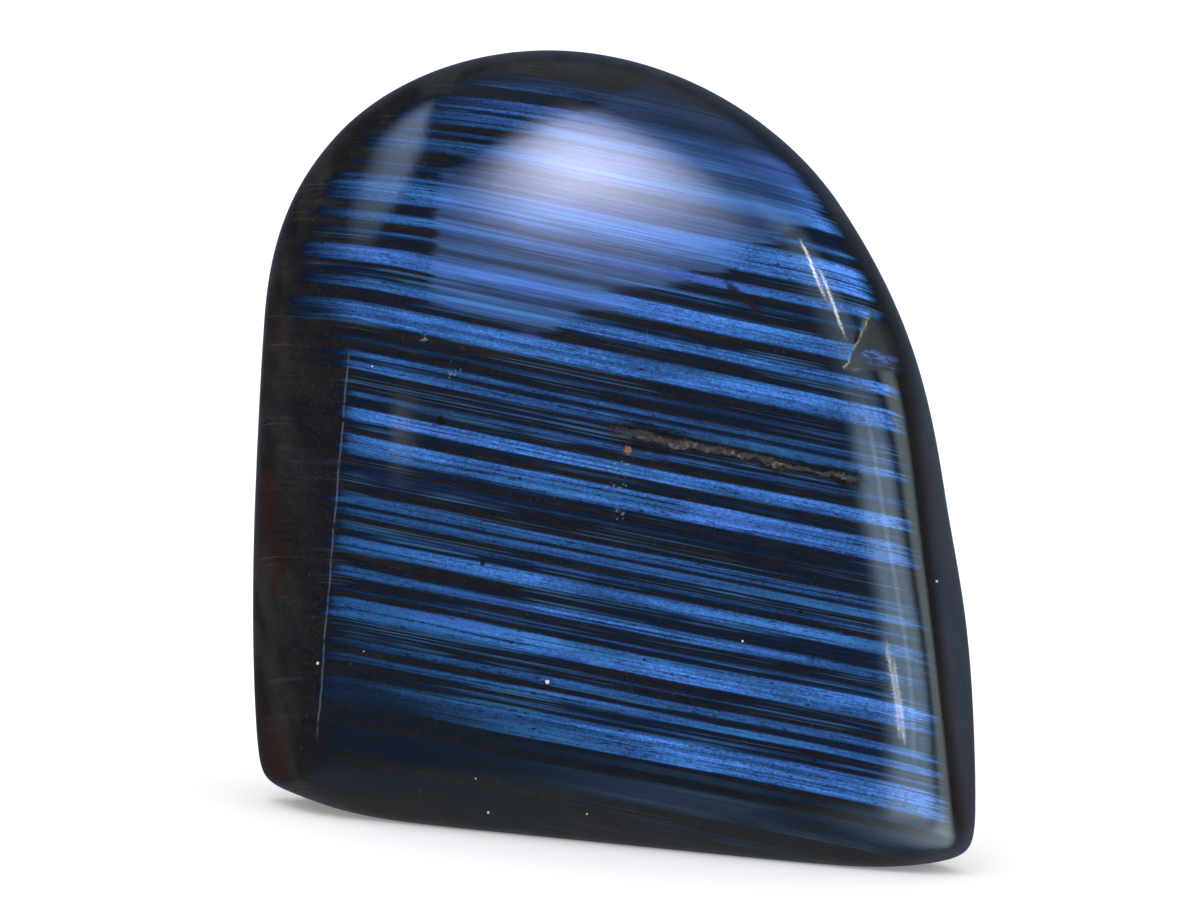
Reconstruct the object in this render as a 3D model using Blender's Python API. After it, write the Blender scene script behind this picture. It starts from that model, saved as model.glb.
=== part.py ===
"""Labradorite freeform: one polished piece of feldspar that stands on its own sawn foot.

The stone is one solid. It is shaped the way a lapidary shapes it: a pillow with the arched
outline of the stone is ground on a few flats whose ridges are then softened, and its foot is
sawn off flat.

Frame: +X to the stone's right as its display face is seen, -Y towards the viewer, +Z up.
The origin is on the surface that the stone stands on, in the middle of its bounding box.
"""

import math

import bmesh
import bpy
import numpy as np
from mathutils import Vector
from mathutils.geometry import interpolate_bezier

MM = 0.001

# Driving dimensions, in millimetres and degrees
FRONT_DEPTH = 17.5  # from the middle of the stone to the crown of the display face
BACK_DEPTH = 17.5  # from the middle to the crown of the back
MIDDLE_X = -1.5  # the middle of the stone, in the outline's own coordinates
MIDDLE_HEIGHT = 44.0
FOOT_BELOW_MIDDLE = 42.9  # the saw cut, measured straight down from the middle
LEAN_BACK = 6.0  # how far the display face leans back from upright
CROWN_HALF_WIDTH = 78.0  # half-axes of the large ellipsoid that crowns both faces
CROWN_HALF_HEIGHT = 86.0
SHOULDER_SHARPNESS = 6.5  # higher turns the shoulders between face and edge more tightly
SOFT_RIDGE_SHARPNESS = 18.0  # higher leaves crisper ridges round the worn flats
CRISP_RIDGE_SHARPNESS = 50.0
FOOT_EDGE_ROUNDING = 1.5
BUFFING_ALLOWANCE = 1.007  # the outline is ground this much too large before it is buffed
BUFFING_PASSES = 2  # each evens out the ridges a little more, as the final polish does

# Outline of the pillow, anticlockwise from the lower right. Each knot is its x and its height in
# mm, the direction of travel there in degrees, and the reach of its two handles. It runs on
# below the foot, because the stone is sawn off there.
OUTLINE_KNOTS = (
    (45.9, 5.0, 92, 6.0, 16.0),
    (36.3, 44.0, 105, 13.0, 13.0),
    (20.4, 75.9, 130, 13.0, 10.0),
    (-11.0, 90.15, 180, 13.0, 11.0),
    (-38.0, 78.0, 233, 9.0, 7.5),
    (-44.1, 56.0, 272, 9.5, 12.0),
    (-41.8, 8.0, 273, 18.0, 6.0),
    (-32.0, -12.0, 0, 8.0, 20.0),
    (34.0, -12.0, 0, 20.0, 8.0),
)
KNOT_STEPS = 24  # points along the outline between two knots

# Ground flats. Each is named for where it lies, and gives the direction that it faces round the
# outline (0 right, 90 up), its tilt away from the display face (180 is the back), both in
# degrees, and its distance from the middle of the stone in mm.
WORN_FLATS = (
    ("upper left shoulder", 137, 33, 32.5),
    ("front of the foot", 269, 46, 38.6),
    ("upper back", 92, 168, 14.2),
    ("back left", 199, 138, 34.5),
    ("back right", 347, 141, 34.0),
    ("back of the foot", 272, 126, 43.0),
)
CRISP_FLATS = (
    ("left bevel", 184, 36, 30.9),
    ("left lower side", 190, 63, 40.4),
    ("right side", 11, 76, 36.6),
    ("left end of the foot", 255, 88, 49.4),
    ("right end of the foot", 285, 88, 51.9),
)

# The grid that is pressed onto the stone, as cells across its width, its depth and its height.
# The cells are narrower towards the grid's edges, where the stone turns.
CELLS_WIDE = 34
CELLS_DEEP = 12
CELLS_HIGH = 34
GRID_HALF_SIZE = (43.0, 14.5, 43.0)
EDGE_CROWDING = 0.55

STONE_COLOUR = (0.035, 0.075, 0.19, 1.0)
STONE_ROUGHNESS = 0.12


def clear_scene():
    for obj in list(bpy.data.objects):
        bpy.data.objects.remove(obj, do_unlink=True)


def outline_points():
    """Points round the stone's outline, measured from its middle, in mm."""
    points = []
    for i, (x, z, heading, _, reach_after) in enumerate(OUTLINE_KNOTS):
        end_x, end_z, end_heading, reach_before, _ = OUTLINE_KNOTS[(i + 1) % len(OUTLINE_KNOTS)]
        start, end = Vector((x, z)), Vector((end_x, end_z))
        away = Vector((math.cos(math.radians(heading)), math.sin(math.radians(heading))))
        into = Vector((math.cos(math.radians(end_heading)), math.sin(math.radians(end_heading))))
        span = interpolate_bezier(
            start, start + away * reach_after, end - into * reach_before, end, KNOT_STEPS + 1
        )
        points += [(p[0] - MIDDLE_X, p[1] - MIDDLE_HEIGHT) for p in span[:-1]]
    return np.array(points)


def outline_reach(angles):
    """How far the outline lies from the middle at each angle round it, in mm."""
    points = outline_points()
    around = np.arctan2(points[:, 1], points[:, 0])
    away = np.hypot(points[:, 0], points[:, 1]) * BUFFING_ALLOWANCE
    return np.interp(angles, around, away, period=2 * math.pi)


def soft_maximum(terms, sharpness):
    """The largest of the terms, rounded off where two of them are nearly equal."""
    return sum(np.maximum(term, 0.0) ** sharpness for term in terms) ** (1.0 / sharpness)


def soft_minimum(a, b, width):
    """The smaller of a and b, rounded off only where they are within that width of each other."""
    near = np.maximum(width - np.abs(a - b), 0.0) / width
    return np.minimum(a, b) - near * near * width / 4.0


def facing(around, tilt):
    """The unit vector that a ground flat faces, as (right, up the face, out of the face)."""
    around, tilt = math.radians(around), math.radians(tilt)
    flat = math.sin(tilt)
    return np.array((flat * math.cos(around), flat * math.sin(around), math.cos(tilt)))


def to_face(directions):
    """World directions, turned into (right, up the leaning face, out of the face)."""
    lean = math.radians(LEAN_BACK)
    x, y, z = directions.T
    up = y * math.sin(lean) + z * math.cos(lean)
    out = -y * math.cos(lean) + z * math.sin(lean)
    return np.stack((x, up, out), axis=1)


def pillow(face):
    """The blank, as one over its reach in each direction: the outline's wall and both crowns."""
    right, up, out = face.T
    wall = np.hypot(right, up) / outline_reach(np.arctan2(up, right))
    depth = np.where(out > 0, FRONT_DEPTH, BACK_DEPTH)
    crown = np.sqrt(
        (right / CROWN_HALF_WIDTH) ** 2 + (up / CROWN_HALF_HEIGHT) ** 2 + (out / depth) ** 2
    )
    return soft_maximum((wall, crown), SHOULDER_SHARPNESS)


def grind(face, blank, flats, sharpness):
    """The blank with the flats ground onto it, again as one over its reach."""
    cuts = [face @ facing(around, tilt) / away for _, around, tilt, away in flats]
    return soft_maximum([blank, *cuts], sharpness)


def reach_of_stone(directions):
    """How far the stone's surface lies from its middle in each unit direction, in mm."""
    face = to_face(directions)
    worn = grind(face, pillow(face), WORN_FLATS, SOFT_RIDGE_SHARPNESS)
    ground = 1.0 / grind(face, worn, CRISP_FLATS, CRISP_RIDGE_SHARPNESS)
    downward = np.maximum(-directions[:, 2], 1e-6)
    return soft_minimum(ground, FOOT_BELOW_MIDDLE / downward, FOOT_EDGE_ROUNDING)


def gridded_cube():
    """A cube from -1 to 1 whose faces are divided into the grid's cells."""
    bm = bmesh.new()
    bmesh.ops.create_cube(bm, size=2.0)
    for axis, cells in enumerate((CELLS_WIDE, CELLS_DEEP, CELLS_HIGH)):
        along = [e for e in bm.edges if abs(e.verts[0].co[axis] - e.verts[1].co[axis]) > 1.0]
        bmesh.ops.subdivide_edges(bm, edges=along, cuts=cells - 1, use_grid_fill=True)
    return bm


def press_onto_stone(bm):
    """Moves the grid's vertices straight out from the stone's middle onto its surface."""
    even = np.array([v.co for v in bm.verts])
    grid = even * (1.0 - EDGE_CROWDING) + np.sin(even * math.pi / 2) * EDGE_CROWDING
    grid *= GRID_HALF_SIZE
    grid[:, 1] += grid[:, 2] * math.tan(math.radians(LEAN_BACK))
    directions = grid / np.linalg.norm(grid, axis=1, keepdims=True)
    points = directions * reach_of_stone(directions)[:, None]
    for vertex, point in zip(bm.verts, points):
        vertex.co = Vector(point) * MM


def buff(bm):
    """Evens out everything but the sawn foot."""
    foot = -FOOT_BELOW_MIDDLE * MM
    polished = [v for v in bm.verts if v.co.z > foot + 1e-6]
    for _ in range(BUFFING_PASSES):
        bmesh.ops.smooth_vert(
            bm, verts=polished, factor=0.5, use_axis_x=True, use_axis_y=True, use_axis_z=True
        )


def stand_on_origin(bm):
    """Puts the sawn foot at height zero and the middle of the bounding box over the origin."""
    corners = [[pick(v.co[axis] for v in bm.verts) for axis in range(3)] for pick in (min, max)]
    low, high = (Vector(corner) for corner in corners)
    middle = (low + high) / 2.0
    bmesh.ops.translate(bm, verts=bm.verts, vec=Vector((-middle.x, -middle.y, -low.z)))


def polished_stone():
    material = bpy.data.materials.new("polished_labradorite")
    material.use_nodes = True
    shader = material.node_tree.nodes["Principled BSDF"]
    shader.inputs["Base Color"].default_value = STONE_COLOUR
    shader.inputs["Roughness"].default_value = STONE_ROUGHNESS
    shader.inputs["Metallic"].default_value = 0.0
    return material


def make_stone(collection):
    bm = gridded_cube()
    press_onto_stone(bm)
    buff(bm)
    stand_on_origin(bm)
    bmesh.ops.recalc_face_normals(bm, faces=bm.faces)
    mesh = bpy.data.meshes.new("stone")
    bm.to_mesh(mesh)
    bm.free()
    mesh.materials.append(polished_stone())
    mesh.shade_smooth()
    stone = bpy.data.objects.new("stone", mesh)
    collection.objects.link(stone)
    return stone


def main():
    clear_scene()
    collection = bpy.data.collections.new("labradorite_freeform")
    bpy.context.scene.collection.children.link(collection)
    make_stone(collection)


main()
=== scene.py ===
import math

import bmesh
import bpy
import numpy as np
from mathutils import Matrix, Vector, noise
from mathutils.geometry import interpolate_bezier


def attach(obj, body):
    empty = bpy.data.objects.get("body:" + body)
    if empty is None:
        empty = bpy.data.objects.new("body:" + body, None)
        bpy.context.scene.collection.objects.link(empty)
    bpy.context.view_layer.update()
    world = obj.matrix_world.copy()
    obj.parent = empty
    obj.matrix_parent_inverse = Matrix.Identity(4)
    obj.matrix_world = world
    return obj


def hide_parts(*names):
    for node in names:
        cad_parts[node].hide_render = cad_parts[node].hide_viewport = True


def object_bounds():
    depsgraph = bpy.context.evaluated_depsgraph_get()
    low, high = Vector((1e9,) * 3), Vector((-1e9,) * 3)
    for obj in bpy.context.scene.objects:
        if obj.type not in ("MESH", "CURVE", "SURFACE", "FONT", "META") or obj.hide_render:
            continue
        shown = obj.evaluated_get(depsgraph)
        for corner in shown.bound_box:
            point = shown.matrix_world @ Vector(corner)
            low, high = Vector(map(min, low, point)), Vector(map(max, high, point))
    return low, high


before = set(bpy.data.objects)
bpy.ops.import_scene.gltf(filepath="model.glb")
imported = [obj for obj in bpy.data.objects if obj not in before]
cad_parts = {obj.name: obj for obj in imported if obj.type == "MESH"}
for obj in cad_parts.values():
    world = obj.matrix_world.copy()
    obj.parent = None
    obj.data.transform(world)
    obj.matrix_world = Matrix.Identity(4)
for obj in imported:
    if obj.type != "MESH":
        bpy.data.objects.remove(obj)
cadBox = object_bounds()
print("frame loaded")

mm = 0.001


# the form, in millimetres and degrees, the same as the solid's but finer
stoneForm = {
    "frontDepth": 17.5,
    "backDepth": 17.5,
    "middle": (-1.5, 44.0),
    "footBelowMiddle": 42.9,
    "leanBack": 6.0,
    "crown": (78.0, 86.0),
    "shoulderSharpness": 6.5,
    "wornSharpness": 18.0,
    "crispSharpness": 50.0,
    "footEdge": 1.5,
    # x, height, direction of travel, handle before, handle after
    "outline": [
        (45.9, 5.0, 92, 6.0, 16.0),
        (36.3, 44.0, 105, 13.0, 13.0),
        (20.4, 75.9, 130, 13.0, 10.0),
        (-11.0, 90.15, 180, 13.0, 11.0),
        (-38.0, 78.0, 233, 9.0, 7.5),
        (-44.1, 56.0, 272, 9.5, 12.0),
        (-41.8, 8.0, 273, 18.0, 6.0),
        (-32.0, -12.0, 0, 8.0, 20.0),
        (34.0, -12.0, 0, 20.0, 8.0),
    ],
    # direction round the outline, tilt from the display face, distance from the middle
    "wornFlats": {
        "upperLeftShoulder": (137, 33, 32.5),
        "footFront": (269, 46, 38.6),
        "upperBack": (92, 168, 14.2),
        "backLeft": (199, 138, 34.5),
        "backRight": (347, 141, 34.0),
        "footBack": (272, 126, 43.0),
    },
    "crispFlats": {
        "leftBevel": (184, 36, 30.9),
        "leftLowerSide": (190, 63, 40.4),
        "rightSide": (11, 76, 36.6),
        "footLeftEnd": (255, 88, 49.4),
        "footRightEnd": (285, 88, 51.9),
    },
    "knotSteps": 48,  # points along the outline between two knots
    "cells": (165, 55, 180),  # of the grid, across, in depth and in height
    "gridHalf": (43.0, 14.5, 43.0),
    "edgeCrowding": 0.35,
}

# the crystal's twin planes, which show as stripes, in mm on the display face
twinPlanes = {
    "about": (2.0, 45.0),  # where on the face the slope and the fan are measured
    "slope": 0.103,  # how far they fall from left to right
    "fan": 0.00033,  # how much more the upper ones fall
    "spread": 1.0086,
    "offset": -0.10,
    "dip": 0.20,  # how they lean into the stone
    "crownOut": 15.0,  # how far out of the middle the display face lies
    # where each blue stripe starts and ends, from the foot up, and how bright it is
    "stripes": [
        (1.2, 3.8, 0.30), (5.4, 7.9, 0.45), (8.9, 9.7, 0.35), (10.3, 13.3, 1.00), (13.7, 14.2, 0.45),
        (15.0, 15.8, 0.85), (16.6, 17.5, 0.85), (18.3, 18.6, 0.35), (19.8, 22.2, 1.00),
        (22.8, 23.2, 0.45), (24.5, 25.5, 0.90), (27.4, 29.0, 1.00), (29.8, 30.3, 0.60),
        (31.4, 32.3, 0.75), (32.7, 33.8, 0.80), (36.1, 36.4, 0.40), (38.1, 40.5, 1.00), (42.0, 43.5, 1.00),
        (44.7, 45.4, 0.60), (47.7, 48.7, 0.85), (49.2, 49.9, 0.70), (51.1, 51.6, 0.40),
        (53.2, 55.6, 1.00), (57.2, 58.5, 0.95), (60.2, 62.2, 1.00), (63.8, 64.3, 0.55),
        (65.4, 66.5, 0.90), (67.8, 71.2, 1.00), (72.1, 72.8, 0.55), (74.6, 76.4, 0.85),
        (76.9, 77.5, 0.55), (78.3, 80.0, 0.80), (80.4, 82.2, 0.75), (83.6, 85.6, 0.55),
    ],
    "edge": 0.14,
    "blurredBy": 0.36,  # how far they run into one another in the hazy patch, where they are also painted lighter as a painted highlight
    "blurredEdge": 0.20,
    "perRamp": 7,  # stripes on one colour ramp
}

# what the hand finish and the crystal's flaws leave in the surface, in mm
stoneRelief = {
    "waviness": 0.07,  # depth of the hollows that hand polishing leaves
    "wavinessAcross": 15.0,  # width of one hollow
    "crackDepth": 0.16,
    "crackBand": (46.9, 0.50),  # its middle and half width, across the stripes
    "crackSpan": (-4.5, 28.0),  # where it runs, along the stripes
    "chipDepth": 0.12,  # a step where a cleavage comes out at the right
    "chipEdge": (23.3, 57.9, 0.37),  # x and height of its lower end, and how it leans
    "chipHeights": (56.6, 63.7),
    "flatBelow": 2.0,  # the relief fades towards the sawn foot
}


def planeAt(across, up):
    # which twin plane comes out at a point of the display face
    acrossMiddle, upMiddle = twinPlanes["about"]
    along = across - acrossMiddle
    fall = (up - upMiddle) * twinPlanes["fan"] + twinPlanes["slope"]
    return up * twinPlanes["spread"] + along * fall + twinPlanes["offset"]


def outlineReach(angles):
    # how far the outline lies from the middle at each angle round it
    points = []
    knots, steps = stoneForm["outline"], stoneForm["knotSteps"]
    for i, (x, z, heading, before, after) in enumerate(knots):
        nextX, nextZ, nextHeading, nextBefore, nextAfter = knots[(i + 1) % len(knots)]
        start, end = Vector((x, z)), Vector((nextX, nextZ))
        away = Vector((math.cos(math.radians(heading)), math.sin(math.radians(heading))))
        into = Vector((math.cos(math.radians(nextHeading)), math.sin(math.radians(nextHeading))))
        leave, arrive = start + away * after, end - into * nextBefore
        points += interpolate_bezier(start, leave, arrive, end, steps + 1)[:-1]
    points = np.array([(p[0], p[1]) for p in points]) - stoneForm["middle"]
    around = np.arctan2(points[:, 1], points[:, 0])
    return np.interp(angles, around, np.hypot(points[:, 0], points[:, 1]), period=2 * math.pi)


def softMaximum(terms, sharpness):
    return sum(np.maximum(term, 0.0) ** sharpness for term in terms) ** (1.0 / sharpness)


def toFace(p):
    # world to (right, up the leaning face, out of the face)
    lean = math.radians(stoneForm["leanBack"])
    up = p[:, 1] * math.sin(lean) + p[:, 2] * math.cos(lean)
    out = -p[:, 1] * math.cos(lean) + p[:, 2] * math.sin(lean)
    return np.stack((p[:, 0], up, out), axis=1)


def flatFacing(around, tilt):
    around, tilt = math.radians(around), math.radians(tilt)
    return np.array((math.sin(tilt) * math.cos(around), math.sin(tilt) * math.sin(around), math.cos(tilt)))


def grind(face, blank, flats, sharpness):
    cuts = [face @ flatFacing(around, tilt) / away for around, tilt, away in flats.values()]
    return softMaximum([blank, *cuts], sharpness)


def stoneReach(directions):
    # how far the surface lies from the middle in each direction
    form = stoneForm
    face = toFace(directions)
    right, up, out = face.T
    wall = np.hypot(right, up) / outlineReach(np.arctan2(up, right))
    depth = np.where(out > 0, form["frontDepth"], form["backDepth"])
    crown = np.sqrt((right / form["crown"][0]) ** 2 + (up / form["crown"][1]) ** 2 + (out / depth) ** 2)
    pillow = softMaximum((wall, crown), form["shoulderSharpness"])
    worn = grind(face, pillow, form["wornFlats"], form["wornSharpness"])
    ground = 1.0 / grind(face, worn, form["crispFlats"], form["crispSharpness"])
    foot = form["footBelowMiddle"] / np.maximum(-directions[:, 2], 1e-6)
    near = np.maximum(form["footEdge"] - np.abs(ground - foot), 0.0) / form["footEdge"]
    return np.minimum(ground, foot) - near * near * form["footEdge"] / 4.0


def fieldNoise(points, width, seed):
    # smooth noise from -1 to 1 over points in mm
    return np.array([noise.noise(Vector(p) / width + Vector((seed, 0, 0))) for p in points])


def readVectors(mesh, what):
    flat = np.empty(len(mesh.vertices) * 3, np.float32)
    mesh.vertices.foreach_get(what, flat)
    return flat.reshape(-1, 3).astype(float)


def moveVertices(mesh, points):
    mesh.vertices.foreach_set("co", (points * mm).astype(np.float32).ravel())
    mesh.update()


def makeGrid():
    # a cube from -1 to 1, cut into cells
    bm = bmesh.new()
    bmesh.ops.create_cube(bm, size=2.0)
    for axis, cells in enumerate(stoneForm["cells"]):
        along = [e for e in bm.edges if abs(e.verts[0].co[axis] - e.verts[1].co[axis]) > 1.0]
        bmesh.ops.subdivide_edges(bm, edges=along, cuts=cells - 1, use_grid_fill=True)
    mesh = bpy.data.meshes.new("labradorite_freeform")
    bm.to_mesh(mesh)
    bm.free()
    print("grid made:", len(mesh.polygons), "cells")
    return mesh


def pressOntoForm(mesh):
    # moves the grid out onto the form, and stands it in the solid's box
    form = stoneForm
    grid, crowding = readVectors(mesh, "co"), form["edgeCrowding"]
    grid = (grid * (1 - crowding) + np.sin(grid * math.pi / 2) * crowding) * form["gridHalf"]
    grid[:, 1] += grid[:, 2] * math.tan(math.radians(form["leanBack"]))
    directions = grid / np.linalg.norm(grid, axis=1, keepdims=True)
    points = directions * stoneReach(directions)[:, None]
    low, high = points.min(axis=0), points.max(axis=0)
    middle = (low + high) / 2
    size = np.array(cadBox[1] - cadBox[0]) / mm
    scale = size / (high - low)
    points = (points - (middle[0], middle[1], low[2])) * scale
    moveVertices(mesh, points)
    print("stone shaped, scale against the solid:", np.round(scale, 4))
    return points, Vector((middle[0] * scale[0], middle[1] * scale[1], low[2] * scale[2]))


def crackDepths(points, across, stripes, front):
    relief = stoneRelief
    middle, halfWidth = relief["crackBand"]
    start, end = relief["crackSpan"]
    near = front & (np.abs(stripes - middle) < 2) & (across > start - 3) & (across < end + 3)
    where = np.flatnonzero(near)
    depths = np.zeros(len(points))
    if len(where):
        rough = fieldNoise(points[where], 0.9, 11.0)
        ragged = fieldNoise(points[where], 2.4, 17.0)
        away = np.abs(stripes[where] - middle - 0.35 * ragged) / halfWidth
        ends = np.clip((across[where] - start) / 3, 0, 1) * np.clip((end - across[where]) / 6, 0, 1)
        depths[where] = relief["crackDepth"] * np.clip(1 - away, 0, 1) * ends * (0.6 + 0.6 * rough)
    return depths


def chipDepths(across, up, facing):
    relief = stoneRelief
    edgeX, edgeUp, leaning = relief["chipEdge"]
    bottom, top = relief["chipHeights"]
    beyond = across - edgeX - (up - edgeUp) * leaning
    inChip = np.clip((up - bottom) / 1.5, 0, 1) * np.clip((top - up) / 0.6, 0, 1) * (facing > 0.3)
    return relief["chipDepth"] * np.clip(beyond / 0.4, 0, 1) * np.clip(1 - beyond / 6, 0, 1) * inChip


def sinkRelief(mesh, points, shift):
    # relief only goes inwards, and leaves the sawn foot flat
    relief = stoneRelief
    normals = readVectors(mesh, "normal")
    face = toFace(points + shift)
    across, up, out = face[:, 0] + stoneForm["middle"][0], face[:, 1] + stoneForm["middle"][1], face[:, 2]
    facing = toFace(normals)[:, 2]
    above = np.clip(points[:, 2] / relief["flatBelow"], 0, 1)
    sunk = relief["waviness"] * 0.5 * (1 + fieldNoise(points, relief["wavinessAcross"], 3.0)) * above
    front = (facing > 0.5) & (out > 5)
    sunk += crackDepths(points, across, planeAt(across, up), front)
    sunk += chipDepths(across, up, facing)
    moveVertices(mesh, points - normals * sunk[:, None])


def buildStone():
    mesh = makeGrid()
    points, shift = pressOntoForm(mesh)
    sinkRelief(mesh, points, shift)
    mesh.shade_smooth()
    stone = bpy.data.objects.new("labradorite_freeform", mesh)
    bpy.context.scene.collection.objects.link(stone)
    return stone, shift


stone, stoneShift = buildStone()
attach(stone, "root")
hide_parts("stone")
print("stone built")


class Wire:
    # wraps one socket of a node tree, so that shader maths reads as plain sums
    def __init__(self, tree, socket=None):
        self.tree = tree
        self.socket = socket

    def add(self, kind, settings=None, inputs=None, output=0):
        node = self.tree.nodes.new(kind)
        for name, value in (settings or {}).items():
            if name == "stops":
                ramp = node.color_ramp
                while len(ramp.elements) < len(value):
                    ramp.elements.new(0.5)
                for element, (place, colour) in zip(ramp.elements, value):
                    element.position = place
                    element.color = colour
            elif name == "interpolation":
                node.color_ramp.interpolation = value
            else:
                setattr(node, name, value)
        for name, value in (inputs or {}).items():
            if isinstance(value, Wire):
                self.tree.links.new(value.socket, node.inputs[name])
            else:
                node.inputs[name].default_value = value
        return Wire(self.tree, node.outputs[output])

    def maths(self, operation, *values):
        return self.add("ShaderNodeMath", {"operation": operation}, dict(enumerate(values)))

    def __add__(self, other):
        return self.maths("ADD", self, other)

    def __radd__(self, other):
        return self.maths("ADD", other, self)

    def __sub__(self, other):
        return self.maths("SUBTRACT", self, other)

    def __rsub__(self, other):
        return self.maths("SUBTRACT", other, self)

    def __mul__(self, other):
        return self.maths("MULTIPLY", self, other)

    def __rmul__(self, other):
        return self.maths("MULTIPLY", other, self)

    def __truediv__(self, other):
        return self.maths("DIVIDE", self, other)

    def __abs__(self):
        return self.maths("ABSOLUTE", self)

    def above(self, other):
        return self.maths("MAXIMUM", self, other)

    def below(self, other):
        return self.maths("MINIMUM", self, other)

    def rise(self, start, end):
        # 0 before start, 1 after end, smooth between; start may be the larger
        inputs = {"Value": self, "From Min": start, "From Max": end}
        return self.add("ShaderNodeMapRange", {"interpolation_type": "SMOOTHSTEP"}, inputs)

    def mix(self, first, second):
        # this value picks between two colours
        return self.add("ShaderNodeMix", {"data_type": "RGBA"}, {0: self, 6: first, 7: second}, output=2)

    def vector(self, x, y, z):
        return self.add("ShaderNodeCombineXYZ", None, {0: x, 1: y, 2: z})

    def noise(self, vector, detail=2.0, rough=0.5):
        inputs = {"Vector": vector, "Scale": 1.0, "Detail": detail, "Roughness": rough}
        return self.add("ShaderNodeTexNoise", None, inputs)


# the stone's colours and flaws, lengths in mm
polishedLabradorite = {
    # colours of the flash from its darkest to its brightest
    "flash": [(0.0025, 0.0040, 0.0080, 1), (0.0035, 0.0095, 0.0270, 1), (0.0075, 0.0240, 0.0680, 1),
              (0.0150, 0.0520, 0.1550, 1), (0.0260, 0.0960, 0.3000, 1), (0.0520, 0.1850, 0.5800, 1),
              (0.1050, 0.3000, 0.9500, 1)],
    "azure": (0.030, 0.150, 0.330, 1),
    "violet": (0.055, 0.095, 0.450, 1),
    "deepTeal": (0.0120, 0.0980, 0.2500, 1),
    "hairline": (0.045, 0.115, 0.210, 1),
    "bodyCool": (0.0055, 0.0072, 0.0100, 1),
    "bodyBrown": (0.0150, 0.0112, 0.0098, 1),
    "bodyRust": (0.0230, 0.0110, 0.0085, 1),
    "sideGrey": (0.0240, 0.0275, 0.0280, 1),
    "bodyFoot": (0.0190, 0.0200, 0.0190, 1),
    "sideLine": (0.0600, 0.0680, 0.0680, 1),
    "bodySpeck": (0.0400, 0.0350, 0.0300, 1),
    "dullTeal": (0.0070, 0.0140, 0.0210, 1),
    "footTeal": (0.0330, 0.0600, 0.0980, 1),
    # a painted reflection: the grey sheen on the lower right corner
    "cornerSheenGrey": (0.0900, 0.1200, 0.1640, 1),
    "crackDark": (0.0070, 0.0060, 0.0050, 1),
    "crackBrown": (0.0820, 0.0480, 0.0260, 1),
    "crackCrumb": (0.2700, 0.2100, 0.1450, 1),
    "flashFacing": (0.15, 0.12, 0.97),
    "brightest": 1.2,  # the brightness that gets the last of the flash's colours
    "faceFrom": 8.0,  # the display face is what lies this far out of the middle
    "speckWhite": (0.60, 0.62, 0.66, 1),
    "speckOrange": (0.30, 0.13, 0.05, 1),
    "bruiseBlue": (0.16, 0.26, 0.36, 1),
    "scratchGrey": (0.12, 0.15, 0.17, 1),
    "roughness": 0.035,
    # the hazy patch near the top, where the stripes are also painted lighter as a painted highlight: for each
    # of its edges the direction that it faces, how far out it lies and how ragged it is
    "hazeAndPaintedHighlight": [(-1.0, 0.0, 25.2, 2.2), (-0.49, 0.874, 77.5, 1.8), (-0.26, -0.965, -51.0, 5.0),
             (0.475, -0.88, -55.6, 7.0)],
    # small flaws on the display face: x, height, radius
    "whiteSpecks": [(-33.6, 17.3, 0.19), (-7.3, 17.8, 0.28), (-14.4, 6.0, 0.16), (-12.6, 2.2, 0.18),
                    (-28.5, 19.2, 0.11), (-1.4, 3.2, 0.12), (-30.7, 51.6, 0.12), (14.3, 24.6, 0.16),
                    (35.8, 33.5, 0.15)],
    "bruises": [(-1.3, 43.0, 1.1), (-1.6, 40.7, 0.9), (-1.2, 37.6, 0.7), (-21.5, 52.0, 0.8),
                (-24.8, 55.4, 0.7)],
    "darkPits": [(-22.2, 46.2, 0.62), (-16.0, 30.5, 0.30), (20.5, 28.6, 0.26), (3.4, 21.4, 0.24)],
    "orangeSpeck": (-0.9, 44.9, 0.56),
    "fleck": ((8.2, 65.2), (12.8, 61.8), 0.55),  # a dark fleck: its two ends and its half width
    "chipTop": 65.8,  # the plane that ends the cleavage upwards
    "violetLayers": (60.2, 62.4),  # the planes that still flash beyond it, in violet
    "creaseLight": (0.13, 0.16, 0.22, 1),
    "crease": (-33.2, 8.0, 54.0),  # the worn ridge of the left bevel: x, bottom and top
}


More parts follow.
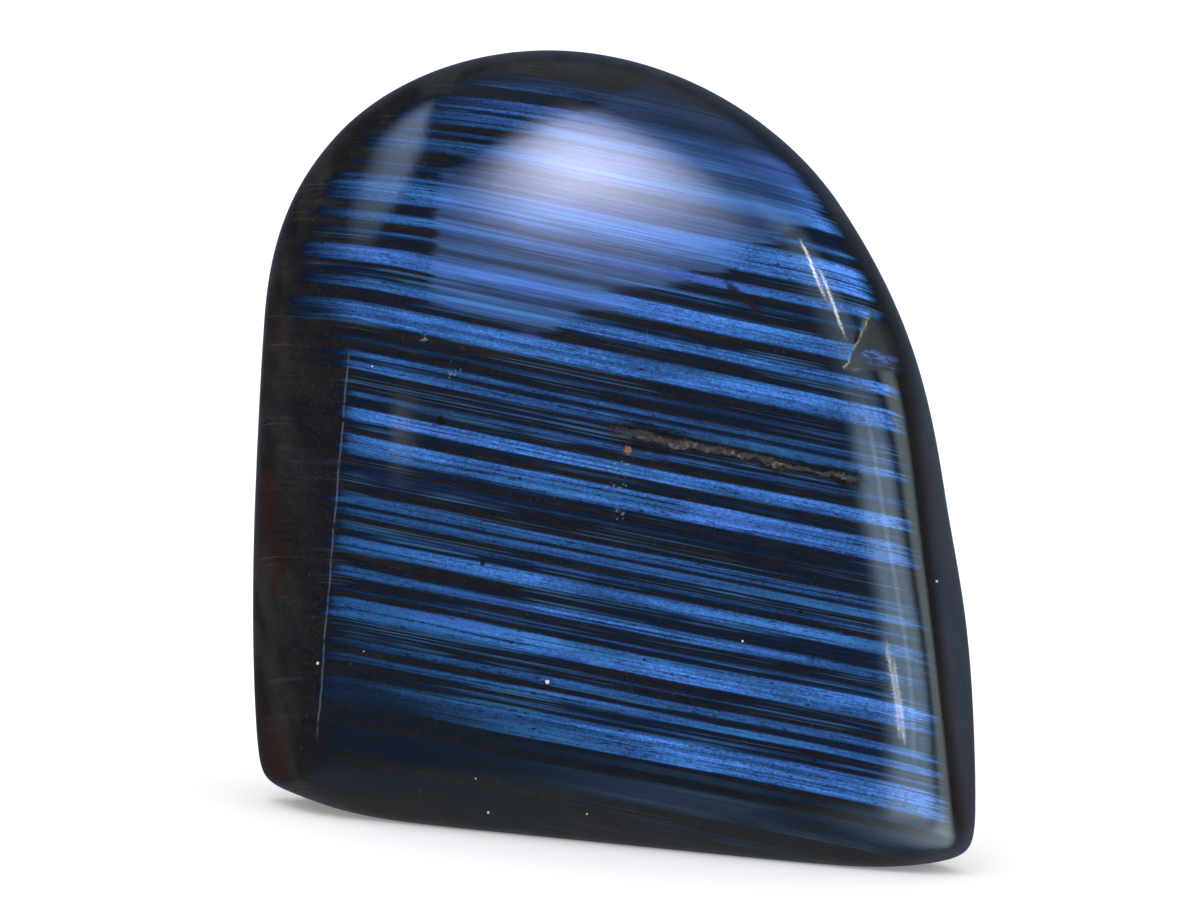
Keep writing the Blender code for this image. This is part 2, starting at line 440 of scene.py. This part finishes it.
class StoneSpace:
    # the stone's own frame in its shader, in mm: across, up the face and out of the face
    def __init__(self, wire):
        form = stoneForm
        place = wire.add("ShaderNodeTexCoord", None, None, output="Object")
        lean = math.radians(form["leanBack"])
        self.wire = wire
        self.px = wire.add("ShaderNodeSeparateXYZ", None, {0: place}, output=0) * (1 / mm) + stoneShift.x
        self.py = wire.add("ShaderNodeSeparateXYZ", None, {0: place}, output=1) * (1 / mm) + stoneShift.y
        self.pz = wire.add("ShaderNodeSeparateXYZ", None, {0: place}, output=2) * (1 / mm) + stoneShift.z
        self.across = self.px + form["middle"][0]
        self.up = self.py * math.sin(lean) + self.pz * math.cos(lean) + form["middle"][1]
        self.out = self.pz * math.sin(lean) - self.py * math.cos(lean)
        normal = wire.add("ShaderNodeTexCoord", None, None, output="Normal")
        self.sideways = wire.add("ShaderNodeSeparateXYZ", None, {0: normal}, output=0)
        x, y, z = polishedLabradorite["flashFacing"]
        back, upwards = y * math.sin(lean) - z * math.cos(lean), z * math.sin(lean) + y * math.cos(lean)
        facing = Vector((x, back, upwards)).normalized()
        self.toFlash = wire.add("ShaderNodeVectorMath", {"operation": "DOT_PRODUCT"},
                                {0: normal, 1: facing}, output="Value")
        self.onFace = (self.out - polishedLabradorite["faceFrom"]).rise(0, 1)
        # which twin plane runs through a point of the stone
        deeper = (twinPlanes["crownOut"] - self.out).above(0.0)
        self.layer = planeAt(self.across, self.up) + deeper * twinPlanes["dip"]

    def streaks(self, alongWidth, acrossWidth, seed, detail=2.0, rough=0.5):
        # noise drawn out along the twin planes
        along, layer = self.across * (1 / alongWidth), self.layer * (1 / acrossWidth)
        out = self.out * (1 / alongWidth) + seed
        return self.wire.noise(self.wire.vector(along, layer, out), detail, rough)

    def cloud(self, width, seed, detail=2.0, rough=0.5):
        x, y, z = self.px * (1 / width), self.py * (1 / width), self.pz * (1 / width)
        return self.wire.noise(self.wire.vector(x, y, z + seed), detail, rough)

    def skewed(self, width, seed, detail=2.0, rough=0.5):
        # as cloud, but turned in the stone, for large soft shapes
        x, y = self.px * 0.81 + self.pz * 0.46, self.py * 0.90 - self.px * 0.42
        z = self.pz * 0.79 - self.py * 0.37
        x, y, z = x * (1 / width), y * (1 / width), z * (1 / width)
        return self.wire.noise(self.wire.vector(x, y, z + seed), detail, rough)


def stripeLevel(wire, place, edge):
    # brightness of the stripes, a few to a ramp
    total = None
    stripes, perRamp = twinPlanes["stripes"], twinPlanes["perRamp"]
    for first in range(0, len(stripes), perRamp):
        group = stripes[first:first + perRamp]
        low, high = group[0][0] - 2, group[-1][1] + 2
        stops = []
        for start, end, level in group:
            corners = ((start - edge, 0), (start + edge, level), (end - edge, level), (end + edge, 0))
            for where, value in corners:
                stops.append(((where - low) / (high - low), (value, value, value, 1)))
        settings = {"stops": stops, "interpolation": "LINEAR"}
        ramp = wire.add("ShaderNodeValToRGB", settings, {"Fac": (place - low) / (high - low)})
        ramp = ramp + 0.0  # a number from here on
        total = ramp if total is None else total.above(ramp)
    return total


def hazyPatchAndPaintedHighlight(space):
    # a hazy patch in the polish, where the stripes blur and are painted lighter, a painted highlight
    hazeAndPaintedHighlight = space.onFace
    patchRagged = space.streaks(24, 1.3, 7.7) - 0.5
    for faceX, faceUp, away, ragged in polishedLabradorite["hazeAndPaintedHighlight"]:
        inside = away - space.across * faceX - space.up * faceUp + patchRagged * ragged
        hazeAndPaintedHighlight = hazeAndPaintedHighlight * inside.rise(-0.7, 0.9)
    return hazeAndPaintedHighlight


def twinStripes(space, hazeAndPaintedHighlight):
    # brightness of the flash: stripes, with long fine lamellae in them and between them
    wire, streaks = space.wire, space.streaks
    drift = streaks(34, 7, 3.1) - 0.5
    ripple = streaks(9, 1.1, 9.7) - 0.5
    warped = space.layer + drift * 0.7 + ripple * 0.15
    sharp = stripeLevel(wire, warped, twinPlanes["edge"])
    apart, soft = twinPlanes["blurredBy"], twinPlanes["blurredEdge"]
    blurred = stripeLevel(wire, warped + apart, soft) + stripeLevel(wire, warped - apart, soft)
    # painted highlight: in the hazy patch the dark stripes are lifted to a pale blue floor
    blurred = blurred * 0.25 + 0.32
    level = sharp + (blurred - sharp) * hazeAndPaintedHighlight
    patch = streaks(14, 2.6, 21.3, 3.0).rise(0.28, 0.64)
    lamellae = streaks(70, 0.50, 31.9, 4.0, 0.8).rise(0.34, 0.66)
    threads = streaks(38, 0.24, 43.1, 2.0, 0.6).rise(0.52, 0.64)
    darkThreads = streaks(30, 0.26, 51.7, 2.0, 0.6).rise(0.58, 0.68)
    # its grid is turned, because it would show on the bevels
    grain = wire.vector(space.across * 1.5 + space.out * 1.0, space.layer * 6.2,
                        space.out * 1.5 - space.across * 1.0 + 57.7)
    grain = wire.noise(grain, 2.0, 0.7)
    dashes = streaks(1.3, 0.20, 63.1, 2.0, 0.6).rise(0.60, 0.68)
    # painted highlight: the stripes are also painted brighter in the hazy patch
    inStripe = level * (patch * 0.24 + lamellae * 0.30 + hazeAndPaintedHighlight * 0.18 + 0.48)
    gathered = streaks(15, 3, 83.9)  # where the threads lie close together
    between = (1 - level) * (lamellae * 0.22 + threads * 0.34 * gathered.rise(0.38, 0.60) + 0.02)
    fineness = 1 - hazeAndPaintedHighlight * 0.8
    shine = inStripe + between + (grain - 0.5) * fineness * (level * 0.34 + 0.12)
    shine = shine + (space.cloud(0.30, 67, 1.0) - 0.5) * fineness * (level * 0.30 + 0.08)
    flecks = streaks(0.8, 0.34, 71.9, 2.0, 0.6).rise(0.68, 0.75)
    shine = shine - (darkThreads * 0.42 + dashes * 0.34 + flecks * 0.5) * level * fineness
    hairlines = threads * (1 - sharp) * fineness * gathered.rise(0.45, 0.62)
    return shine, sharp, patch, lamellae, threads, hairlines


def flashPlace(space):
    # where the flash shows: the planes only light up on what faces their way
    look, streaks, up, out = polishedLabradorite, space.streaks, space.up, space.out
    frayed = space.toFlash + (streaks(40, 0.5, 91.1, 3.0) - 0.5) * 0.30 + up.rise(8.5, 2.0) * 0.24
    flash = frayed.rise(0.54, 0.92) * (up + (streaks(30, 2, 93.1) - 0.5) * 5).rise(-1.0, 5.0)
    # it ends at the worn ridge on the left
    creaseX, creaseHigh = look["crease"][0], look["crease"][2]
    beyondCrease = creaseX - space.across - (up - 30.0) * 0.015
    frayedEnds = (streaks(9, 0.7, 87.7) - 0.5) * 4.0
    atBevel = (beyondCrease + frayedEnds).rise(-0.9, 1.5) * up.rise(creaseHigh + 3, creaseHigh - 4)
    flash = flash * (1 - atBevel * 0.68)
    # and fades before the rim on the right
    turnedAway = space.sideways + (streaks(12, 0.4, 89.3, 3.0, 0.7) - 0.5) * 0.55
    flash = flash * (1 - turnedAway.rise(0.42, 0.80) * 0.85)
    around, tilt, away = stoneForm["crispFlats"]["rightSide"]
    x, y, z = (float(part) for part in flatFacing(around, tilt))
    toRim = away - space.px * x - (up - stoneForm["middle"][1]) * y
    toRim = toRim - out * z + (streaks(10, 0.4, 79.1, 3.0, 0.7) - 0.5) * 6.0
    flash = flash * (toRim.rise(0.4, 4.4) * 0.9 + 0.1)
    return flash, beyondCrease


def flashBehind(space):
    # a few weaker flashes on the back, which end raggedly
    behind = (space.toFlash * -1.0 + (space.streaks(30, 0.9, 95.1, 3.0) - 0.5) * 0.3).rise(0.55, 0.9)
    patches = space.skewed(24, 7, 3.0) + (space.streaks(26, 0.55, 96.7, 3.0, 0.65) - 0.5) * 0.9
    return behind * (patches.rise(0.40, 0.72) * 0.78 + 0.02)


def dullFoot(space):
    # the dull lower left corner, and all that lies under the last bright stripe
    dull = (space.up - (7.0 - space.across * 0.355) + (space.streaks(20, 3, 5.5) - 0.5) * 6.0).rise(4.0, -3.0)
    belowLast = (space.layer + (space.streaks(20, 3, 5.9) - 0.5) * 1.0).rise(10.2, 9.4)
    return dull.above(belowLast * 0.85), belowLast


def cleavage(space):
    # the cleavage at the right: beyond its jagged edge only a violet patch still flashes
    streaks, up, layer = space.streaks, space.up, space.layer
    edgeX, edgeUp, leaning = stoneRelief["chipEdge"]
    bottom = stoneRelief["chipHeights"][0]
    topLayer = polishedLabradorite["chipTop"]
    low, high = polishedLabradorite["violetLayers"]
    jagged = (streaks(3, 1.3, 141.3, 3.0, 0.7) - 0.5) * 1.6
    beyond = space.across - edgeX - (up - edgeUp) * leaning + jagged
    chipHeight = (up + (streaks(4, 9, 145.9) - 0.5) * 1.2).rise(bottom - 0.2, bottom + 0.3)
    beforeRim = space.out.rise(10.8, 13.0)
    chipHeight = chipHeight * (layer - topLayer).rise(0.2, -0.2) * beforeRim
    chip = beyond.rise(-0.05, 0.10) * chipHeight
    violetPatch = (layer - low).rise(-0.3, 0.4) * (layer - high).rise(0.4, -0.5) * beyond.rise(6.6, 4.6)
    violetPatch = violetPatch * beyond.rise(0.5, 1.5) * beforeRim
    return beyond, chipHeight, chip, violetPatch


def dullFeldspar(space, flash):
    # the dark feldspar between the stripes
    look, streaks, cloud = polishedLabradorite, space.streaks, space.cloud
    brown = streaks(3, 0.9, 97.3, 4.0, 0.7).rise(0.38, 0.62) * (flash * 0.8 + 0.2)
    body = brown.mix(look["bodyCool"], look["bodyBrown"])
    # off the display face: grey and rusty feldspar with the planes' edges in it as fine lines
    offFace = (1 - flash) * (space.out - 14.0).rise(1.0, -6.0)
    grey = space.skewed(6.5, 29, 3.0, 0.62).rise(0.36, 0.68) * offFace * 0.85
    body = grey.mix(body, look["sideGrey"])
    rust = space.skewed(12, 31, 3.0, 0.62) + (streaks(9, 0.8, 37.3, 2.0) - 0.5) * 0.35
    rust = rust.rise(0.46, 0.62) * offFace * space.up.rise(70, 45)
    body = (rust * 0.8).mix(body, look["bodyRust"])
    lines = streaks(26, 0.20, 39.1, 2.0, 0.7).rise(0.56, 0.70) * streaks(8, 2.5, 41.7, 2.0).rise(0.46, 0.62)
    body = (lines * offFace * 0.55).mix(body, look["sideLine"])
    needles = streaks(2.2, 0.22, 45.3, 2.0).rise(0.66, 0.72) * offFace
    body = (needles * 0.8).mix(body, look["crackDark"])
    speckled = 1 - offFace * 0.25
    body = (cloud(0.34, 35, 3.0, 0.7).rise(0.35, 0.75) * 0.26 * speckled).mix(body, look["bodySpeck"])
    return (cloud(0.45, 33, 2.0, 0.7).rise(0.60, 0.71) * 0.62 * speckled).mix(body, look["bodySpeck"])


def blueFlash(space, shine, violetPatch, lowLeft):
    # the flash's own colour for how bright it is, with paler, violet and teal stretches, and a painted pale
    # sheen where the stone rounds off to the right
    look, streaks = polishedLabradorite, space.streaks
    last = len(look["flash"]) - 1
    stops = [(i / last, colour) for i, colour in enumerate(look["flash"])]
    settings = {"stops": stops, "interpolation": "LINEAR"}
    blue = space.wire.add("ShaderNodeValToRGB", settings, {"Fac": shine * (1 / look["brightest"])})
    strong = shine.rise(0.25, 0.95)
    # painted sheen: paler azure where the stone rounds off to the right
    pale = space.sideways.rise(0.42, 0.66) * 0.4
    azure = (streaks(24, 1.3, 101.5, 3.0).rise(0.52, 0.70) * 0.5).above(pale) * strong
    blue = azure.mix(blue, look["azure"])
    violet = (streaks(28, 4, 111.5).rise(0.52, 0.70) * 0.6).above(violetPatch) * strong * 0.7
    blue = violet.mix(blue, look["violet"])
    return (lowLeft * strong * 0.6).mix(blue, look["deepTeal"])


def healedCrack(space, colour):
    # crumbly at its left and thinner to the right
    look, across = polishedLabradorite, space.across
    middle, halfWidth = stoneRelief["crackBand"]
    start, end = stoneRelief["crackSpan"]
    ragged = (space.streaks(2.6, 1.6, 121.1, 4.0, 0.75) - 0.5) * 2.4
    thinning = halfWidth - (across - start) * 0.013
    away = abs(space.layer - middle + ragged) - thinning
    span = across.rise(start, start + 5) * across.rise(end, end - 4) * space.onFace
    crack = away.rise(0.35, -0.20) * span
    crumbs = space.cloud(0.50, 127, 4.0, 0.8)
    crackColour = crumbs.rise(0.46, 0.58).mix(look["crackDark"], look["crackBrown"])
    crackColour = crumbs.rise(0.59, 0.67).mix(crackColour, look["crackCrumb"])
    shaded = (away - across.rise(13, -2) * 0.7).rise(1.2, 0.1)
    colour = (shaded * span * 0.88).mix(colour, look["crackDark"])
    colour = (crack * space.cloud(1.3, 129, 3.0).rise(0.40, 0.52)).mix(colour, crackColour)
    return colour, crack


def darkFleck(space, colour):
    # a short dark fleck in the upper right of the display face
    look, across, up = polishedLabradorite, space.across, space.up
    (startX, startUp), (endX, endUp), halfWidth = look["fleck"]
    length = math.hypot(endX - startX, endUp - startUp)
    ux, uy = (endX - startX) / length, (endUp - startUp) / length
    along = (across - startX) * ux + (up - startUp) * uy
    away = abs((across - startX) * -uy + (up - startUp) * ux) + (space.cloud(1.2, 153, 3.0, 0.7) - 0.5) * 1.4
    ends = along.rise(-0.6, 0.8) * along.rise(length + 0.6, length - 0.8)
    fleck = away.rise(halfWidth, halfWidth * 0.3) * ends
    return (fleck * space.onFace * 0.9).mix(colour, look["bodyBrown"])


def wornRidge(space, colour, beyondCrease):
    # the worn ridge of the left bevel catches the light here and there
    look, wire, up = polishedLabradorite, space.wire, space.up
    low, high = look["crease"][1:]
    waver = (wire.noise(wire.vector(0.0, up * 0.25, 5.5), 2.0) - 0.5) * 0.5
    crease = abs(beyondCrease + waver).rise(0.15, 0.04) * up.rise(low, low + 3)
    broken = wire.noise(wire.vector(0.0, up * 1.1, 3.3), 3.0).rise(0.30, 0.52)
    crease = crease * up.rise(high, high - 3) * broken
    return (crease * space.onFace * 0.42).mix(colour, look["creaseLight"])


def smallFlaws(space, colour):
    # pits, white specks, an orange speck and bruises
    look, wire = polishedLabradorite, space.wire
    uneven = (space.cloud(0.5, 157, 2.0, 0.7) - 0.5) * 2.2

    def spot(x, height, radius):
        away = wire.add("ShaderNodeVectorMath", {"operation": "DISTANCE"},
                        {0: wire.vector(space.across, space.up, 0.0), 1: (x, height, 0)}, output="Value")
        return (away + uneven * radius).rise(radius, radius * 0.6) * space.onFace

    def gather(spots, wider=1.0):
        total = None
        for x, height, radius in spots:
            one = spot(x, height, radius * wider)
            total = one if total is None else total.above(one)
        return total

    colour = (gather(look["darkPits"]) * 0.9).mix(colour, look["crackDark"])
    colour = (gather(look["whiteSpecks"], 1.9) * 0.7).mix(colour, look["crackDark"])
    dot = gather(look["whiteSpecks"])
    colour = dot.mix(colour, look["speckWhite"])
    colour = (spot(*look["orangeSpeck"]) * 0.8).mix(colour, look["speckOrange"])
    bruise = gather(look["bruises"], 1.2) * space.cloud(0.34, 161, 2.0, 0.7).rise(0.56, 0.66)
    return (bruise * 0.7).mix(colour, look["bruiseBlue"]), dot


def makeLabradorite():
    look = polishedLabradorite
    material = bpy.data.materials.new("polishedLabradorite")
    material.use_nodes = True
    tree = material.node_tree
    tree.nodes.clear()
    wire = Wire(tree)
    space = StoneSpace(wire)
    across, up, onFace, streaks, cloud = space.across, space.up, space.onFace, space.streaks, space.cloud

    hazeAndPaintedHighlight = hazyPatchAndPaintedHighlight(space)
    shine, sharp, patch, lamellae, threads, hairlines = twinStripes(space, hazeAndPaintedHighlight)
    flash, beyondCrease = flashPlace(space)
    behind = flashBehind(space)
    dull, belowLast = dullFoot(space)
    beyond, chipHeight, chip, violetPatch = cleavage(space)
    flash = flash * (1 - chip * 0.95)
    turned = space.sideways.rise(0.18, 0.55)  # painted sheen: the flash is painted brighter where the stone rounds off to the right, towards a light
    topRight = (across * 0.25 + up - 78.0).rise(1.5, 5.0)
    lowLeft = (across + up * 0.8).rise(14, -14)
    gain = (turned * 0.52 + 1.09) * (1 - topRight * 0.36) * (1 - lowLeft * 0.22)
    shine = (shine * (flash.above(behind)) * (1 - dull * 0.50) * gain).above(0.0)
    shine = shine.above(violetPatch * (streaks(1.5, 0.5, 149, 3.0, 0.75).rise(0.36, 0.66) * 0.62 + 0.12))

    body = dullFeldspar(space, flash)
    blue = blueFlash(space, shine, violetPatch, lowLeft)
    colour = shine.rise(0.03, 0.24).mix(body, blue)
    colour = (hairlines * flash * (1 - dull) * 0.55).mix(colour, look["hairline"])
    colour = (dull * flash * 0.40).mix(colour, look["dullTeal"])
    # the foot, and a painted sheen on the lower right corner
    footStripes = belowLast * across.rise(-25, 25) * onFace * (sharp * 0.5 + threads * 0.25) * patch
    colour = (footStripes * 1.6).below(0.8).mix(colour, look["footTeal"])
    foot = (up + (streaks(14, 2, 61.9) - 0.5) * 3).rise(3.0, -0.5) * onFace
    colour = (foot * 0.5).mix(colour, look["bodyFoot"])
    # painted sheen: the lower right corner is painted grey, as if it mirrored a pale light
    corner = (across * 0.9 - up).rise(31.0, 38.5)
    colour = (corner * 0.65).mix(colour, look["cornerSheenGrey"])

    colour, crack = healedCrack(space, colour)
    lip = abs(beyond - 0.05).rise(0.16, 0.05) * chipHeight * cloud(0.8, 151, 3.0).rise(0.38, 0.58)
    colour = (lip * 0.8).mix(colour, look["crackCrumb"])
    colour = darkFleck(space, colour)
    colour = wornRidge(space, colour, beyondCrease)
    scratch = wire.noise(wire.vector(across * 3.2, up * 0.42, 155.0), 2.0, 0.6).rise(0.735, 0.78) * onFace
    colour = (scratch * 0.45).mix(colour, look["scratchGrey"])
    colour, dot = smallFlaws(space, colour)

    # polish: nearly a mirror, with fine wheel marks along the stripes
    marks = streaks(5, 0.30, 131.3, 3.0)
    rough = marks * 0.04 + look["roughness"] + crack * 0.35 + dot * 0.4 + chip * 0.30
    height = marks * 0.6 + cloud(2.0, 0) * 1.2 - crack * 2
    bump = wire.add("ShaderNodeBump", None, {"Strength": 0.12, "Distance": 0.00003, "Height": height})
    shader = wire.add("ShaderNodeBsdfPrincipled", None, {
        "Base Color": colour, "Roughness": rough, "Normal": bump, "IOR": 1.57,
        "Coat Weight": hazeAndPaintedHighlight * (lamellae * 0.35 + 0.30) + 0.03, "Coat Roughness": 0.25, "Coat IOR": 1.5,
    })
    tree.links.new(shader.socket, tree.nodes.new("ShaderNodeOutputMaterial").inputs["Surface"])
    return material


stone.data.materials.append(makeLabradorite())
print("stone finished")


# floor and light, in metres
stageLook = {"paper": (0.90, 0.90, 0.90, 1), "glow": 0.22, "halfWidth": 4.0, "front": -4.0, "back": 1.6,
             "bend": 0.8, "bendSteps": 16, "height": 4.0}


def makeStage():
    # a pale sheet that runs back along the floor and curves up behind
    look = stageLook
    profile = [(look["front"], 0.0), (look["back"], 0.0)]
    for i in range(1, look["bendSteps"] + 1):
        turn = math.pi / 2 * i / look["bendSteps"]
        profile.append((look["back"] + look["bend"] * math.sin(turn), look["bend"] * (1 - math.cos(turn))))
    profile.append((look["back"] + look["bend"], look["height"]))
    points = [(side * look["halfWidth"], y, z) for y, z in profile for side in (-1, 1)]
    faces = [(i, i + 1, i + 3, i + 2) for i in range(0, len(points) - 2, 2)]
    mesh = bpy.data.meshes.new("paleSheet")
    mesh.from_pydata(points, [], faces)
    mesh.shade_smooth()
    material = bpy.data.materials.new("palePaper")
    material.use_nodes = True
    shader = material.node_tree.nodes["Principled BSDF"]
    shader.inputs["Base Color"].default_value = look["paper"]
    shader.inputs["Roughness"].default_value = 0.9
    shader.inputs["Emission Color"].default_value = (1, 1, 1, 1)
    shader.inputs["Emission Strength"].default_value = look["glow"]
    mesh.materials.append(material)
    sheet = bpy.data.objects.new("paleSheet", mesh)
    bpy.context.scene.collection.objects.link(sheet)
    sheet.visible_glossy = False  # keeps the rims of the stone dark


# what the polish mirrors of the room, which is little, and what else the room gives
roomTones = {
    "front": (0.028, 0.031, 0.038, 1),
    "rear": (0.066, 0.094, 0.145, 1),
    "frontLeft": (0.020, 0.012, 0.016, 1),
    "rearLeft": (0.034, 0.016, 0.020, 1),
    "above": (0.25, 0.285, 0.35, 1),
    "below": (0.180, 0.195, 0.205, 1),
    "evenLight": (1.0, 1.0, 1.02, 1),
    "backdrop": (1.0, 1.0, 1.0, 1),
}


def lightTheRoom():
    # even light all round, but little of it to be mirrored in the polish
    tones = roomTones
    world = bpy.data.worlds.new("studio")
    world.use_nodes = True
    world.node_tree.nodes.clear()
    sky = Wire(world.node_tree)
    seen = sky.add("ShaderNodeLightPath", None, None, output="Is Camera Ray")
    mirrored = sky.add("ShaderNodeLightPath", None, None, output="Is Glossy Ray")
    place = sky.add("ShaderNodeTexCoord", None, None, output="Generated")
    rearwards = sky.add("ShaderNodeSeparateXYZ", None, {0: place}, output=1).rise(0.0, 0.9)
    height = sky.add("ShaderNodeSeparateXYZ", None, {0: place}, output=2)
    dim = rearwards.mix(tones["front"], tones["rear"])
    toLeft = sky.add("ShaderNodeSeparateXYZ", None, {0: place}, output=0).rise(0.0, -0.8)
    dim = toLeft.mix(dim, rearwards.mix(tones["frontLeft"], tones["rearLeft"]))
    dim = height.rise(0.70, 1.0).mix(dim, tones["above"])
    dim = height.rise(-0.45, -0.80).mix(dim, tones["below"])
    tone = mirrored.mix(tones["evenLight"], dim)
    tone = seen.mix(tone, tones["backdrop"])
    background = sky.add("ShaderNodeBackground", None, {"Color": tone, "Strength": 1.0})
    ending = world.node_tree.nodes.new("ShaderNodeOutputWorld")
    world.node_tree.links.new(background.socket, ending.inputs["Surface"])
    bpy.context.scene.world = world


makeStage()
lightTheRoom()

# the camera, in mm and degrees
cameraSetup = {
    "roll": 5.6,  # the photo shows the stone tipped clockwise by this much
    "distance": 1500.0,
    "aim": (-3.95, 44.65, 3.0),  # across, up and out of the face
    "frameWidth": 137.75,  # what the picture spans at that distance
    "sensor": 36.0,
}


def fromFace(across, up, out):
    # a point on the display face's frame, in metres in the scene
    lean = math.radians(stoneForm["leanBack"])
    x, v = across - stoneForm["middle"][0], up - stoneForm["middle"][1]
    p = Vector((x, v * math.sin(lean) - out * math.cos(lean), v * math.cos(lean) + out * math.sin(lean)))
    return (p - stoneShift) * mm


lean = math.radians(stoneForm["leanBack"])
right, upright = Vector((1, 0, 0)), Vector((0, math.sin(lean), math.cos(lean)))
outwards = Vector((0, -math.cos(lean), math.sin(lean)))


def makeCamera():
    setup, roll = cameraSetup, math.radians(cameraSetup["roll"])
    camera = bpy.data.objects.new("camera", bpy.data.cameras.new("camera"))
    bpy.context.scene.collection.objects.link(camera)
    cameraRight = right * math.cos(roll) + upright * math.sin(roll)
    cameraUp = upright * math.cos(roll) - right * math.sin(roll)
    turn = Matrix((cameraRight, cameraUp, outwards)).transposed().to_4x4()
    place = fromFace(*setup["aim"]) + outwards * setup["distance"] * mm
    camera.matrix_world = Matrix.Translation(place) @ turn
    camera.data.sensor_width = setup["sensor"]
    camera.data.lens = setup["sensor"] * setup["distance"] / setup["frameWidth"]
    bpy.context.scene.camera = camera
    bpy.context.scene.view_settings.view_transform = "Standard"


makeCamera()


# Each light is given by where it is mirrored from: degrees to the right and up of the camera, as
# seen from the stone. Width and height are degrees too, and soft is how much of each edge fades:
# left, right, bottom, top.
lamps = {
    "topWindow": {"at": (-10.7, 30.8), "size": (30.5, 50), "roll": 48, "glow": 13.7,
                  "tint": (0.70, 0.74, 1.0), "soft": (0.36, 0.70, 0.30, 0.67)},
    "leftStrip": {"at": (-65.5, 39.6), "size": (8.5, 48), "roll": 55, "glow": 3.6, "tint": (0.48, 0.66, 1.0),
                  "soft": (0.78, 0.22, 0.60, 0.35)},
    "leftSpot": {"at": (-15, 0), "size": (7, 6), "roll": 0, "glow": 0.9, "tint": (0.9, 0.93, 1.0),
                 "soft": (0.5, 0.5, 0.5, 0.5)},
    "rightStrip": {"at": (37, -12), "size": (31, 50), "roll": 10, "glow": 3.4, "tint": (0.56, 0.78, 1.0),
                   "soft": (0.25, 0.45, 0.2, 0.16)},
    "rightUpper": {"at": (31, 19), "size": (28, 30), "roll": 10, "glow": 1.4, "tint": (0.52, 0.76, 1.0),
                   "soft": (0.4, 0.4, 0.4, 0.3)},
    "rightLine": {"at": (32, -3), "size": (3.5, 30), "roll": 8, "glow": 1.3, "tint": (0.85, 0.92, 1.0),
                  "soft": (0.4, 0.4, 0.2, 0.2)},
    "rightEdge": {"at": (68, -4), "size": (42, 70), "roll": 8, "glow": 2.0, "tint": (0.78, 0.93, 0.96),
                  "soft": (0.3, 0.5, 0.1, 0.2)},
    "upperGap": {"at": (30.6, 21.3), "size": (5.2, 10.4), "roll": -22, "glow": 62, "tint": (1, 1, 1),
                 "soft": (0.1, 0.1, 0.1, 0.1), "bulbs": 15},
    "lowerGap": {"at": (26.8, -8.9), "size": (2.4, 9.6), "roll": 27, "glow": 58, "tint": (1, 0.98, 0.95),
                 "soft": (0.1, 0.1, 0.1, 0.1), "bulbs": 13},
    "lowCard": {"at": (60, -36), "size": (80, 48), "roll": 0, "glow": 3.0, "tint": (0.74, 0.90, 1.0),
                "soft": (0.6, 0.3, 0.4, 0.6)},
}
lampDistance = 0.9
lampTarget = (0, 0, 0.045)
# the two rows of small bulbs on a strip: place across it, shift along it, and where a row fades
bulbRows = [
    {"at": 0.22, "shift": 0.0, "fade": (0.12, 0.25)},
    {"at": 0.78, "shift": 2.6, "fade": (0.88, 0.66)},
]


def towards(sideways, upwards):
    # the direction that lies so many degrees to the right and up of the camera
    a, e = math.radians(sideways), math.radians(upwards)
    return right * math.sin(a) * math.cos(e) + upright * math.sin(e) + outwards * math.cos(a) * math.cos(e)


def bulbRow(u, v, bulbs, row):
    # u runs across the strip and v along it
    beat = v * (2 * math.pi * bulbs) + row["shift"]
    bulb = beat.maths("SINE", beat).rise(0.55, 0.98)
    return bulb * abs(u - row["at"]).rise(0.17, 0.05) * v.rise(*row["fade"])


def makeLamp(name, lamp):
    data = bpy.data.lights.new(name, "AREA")
    data.shape = "RECTANGLE"
    data.size = 2 * lampDistance * math.tan(math.radians(lamp["size"][0] / 2))
    data.size_y = 2 * lampDistance * math.tan(math.radians(lamp["size"][1] / 2))
    data.energy = lamp["glow"] * math.pi * data.size * data.size_y
    data.color = lamp["tint"]
    data.use_nodes = True
    data.node_tree.nodes.clear()
    wire = Wire(data.node_tree)
    spot = wire.add("ShaderNodeNewGeometry", None, None, output="Parametric")
    u = wire.add("ShaderNodeSeparateXYZ", None, {0: spot}, output=0)
    v = wire.add("ShaderNodeSeparateXYZ", None, {0: spot}, output=1)
    left, farSide, bottom, top = lamp["soft"]
    shape = u.rise(0, left) * u.rise(1, 1 - farSide) * v.rise(0, bottom) * v.rise(1, 1 - top)
    if "bulbs" in lamp:
        first, second = (bulbRow(u, v, lamp["bulbs"], row) for row in bulbRows)
        shape = shape * first.above(second)
    glow = wire.add("ShaderNodeEmission", None, {"Color": (1, 1, 1, 1), "Strength": shape})
    ending = data.node_tree.nodes.new("ShaderNodeOutputLight")
    data.node_tree.links.new(glow.socket, ending.inputs["Surface"])
    light = bpy.data.objects.new(name, data)
    bpy.context.scene.collection.objects.link(light)
    back = towards(*lamp["at"])
    side = upright.cross(back).normalized()
    turn = Matrix((side, back.cross(side), back)).transposed().to_4x4()
    spin = Matrix.Rotation(math.radians(lamp["roll"]), 4, "Z")
    light.matrix_world = Matrix.Translation(Vector(lampTarget) + back * lampDistance) @ turn @ spin
    light.visible_diffuse = False
    light.visible_camera = False


for name, lamp in lamps.items():
    makeLamp(name, lamp)


keyLight = {"at": (-0.9, -1.4, 2.0), "size": 1.2, "power": 9.0}


def makeKey():
    # a broad soft light for the shape of the stone and its shadow
    data = bpy.data.lights.new("key", "AREA")
    data.size = keyLight["size"]
    data.energy = keyLight["power"]
    light = bpy.data.objects.new("key", data)
    bpy.context.scene.collection.objects.link(light)
    light.location = keyLight["at"]
    light.rotation_euler = Vector(keyLight["at"]).to_track_quat("Z", "Y").to_euler()
    light.visible_glossy = False
    light.visible_camera = False


makeKey()
print("stage set")
